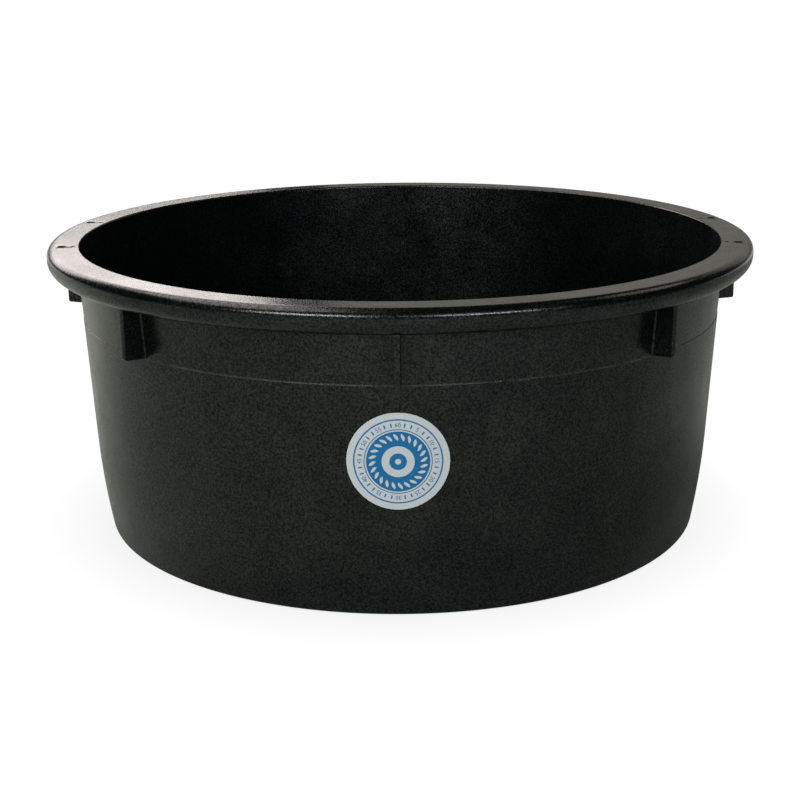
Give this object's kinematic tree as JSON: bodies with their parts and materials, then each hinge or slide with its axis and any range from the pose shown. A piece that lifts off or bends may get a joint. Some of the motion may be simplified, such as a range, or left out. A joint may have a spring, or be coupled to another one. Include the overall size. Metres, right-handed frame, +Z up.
{
  "type": "mortar mixing tub",
  "caption": "Round open tub for mixing mortar: tapered moulded wall, flat floor, flat turned-down rim on ribs, and a small round label on the front.",
  "frame": {"origin": "centre of the standing ring, on the surface that the tub stands on", "axes": "+Z up along the tub's axis; -Y towards the front, where the label is; +X to the right seen from the front"},
  "size_m": [0.71, 0.7098, 0.289],
  "materials": {
    "tub_plastic": "black recycled polyethylene, satin with a fine moulded grain",
    "label_film": "white self-adhesive film, semi-gloss",
    "label_ink": "printed blue ink, semi-gloss"
  },
  "bodies": {
    "root": {"tub": "tub_plastic", "label_film": "label_film", "label_print": "label_ink"}
  },
  "joints": []
}
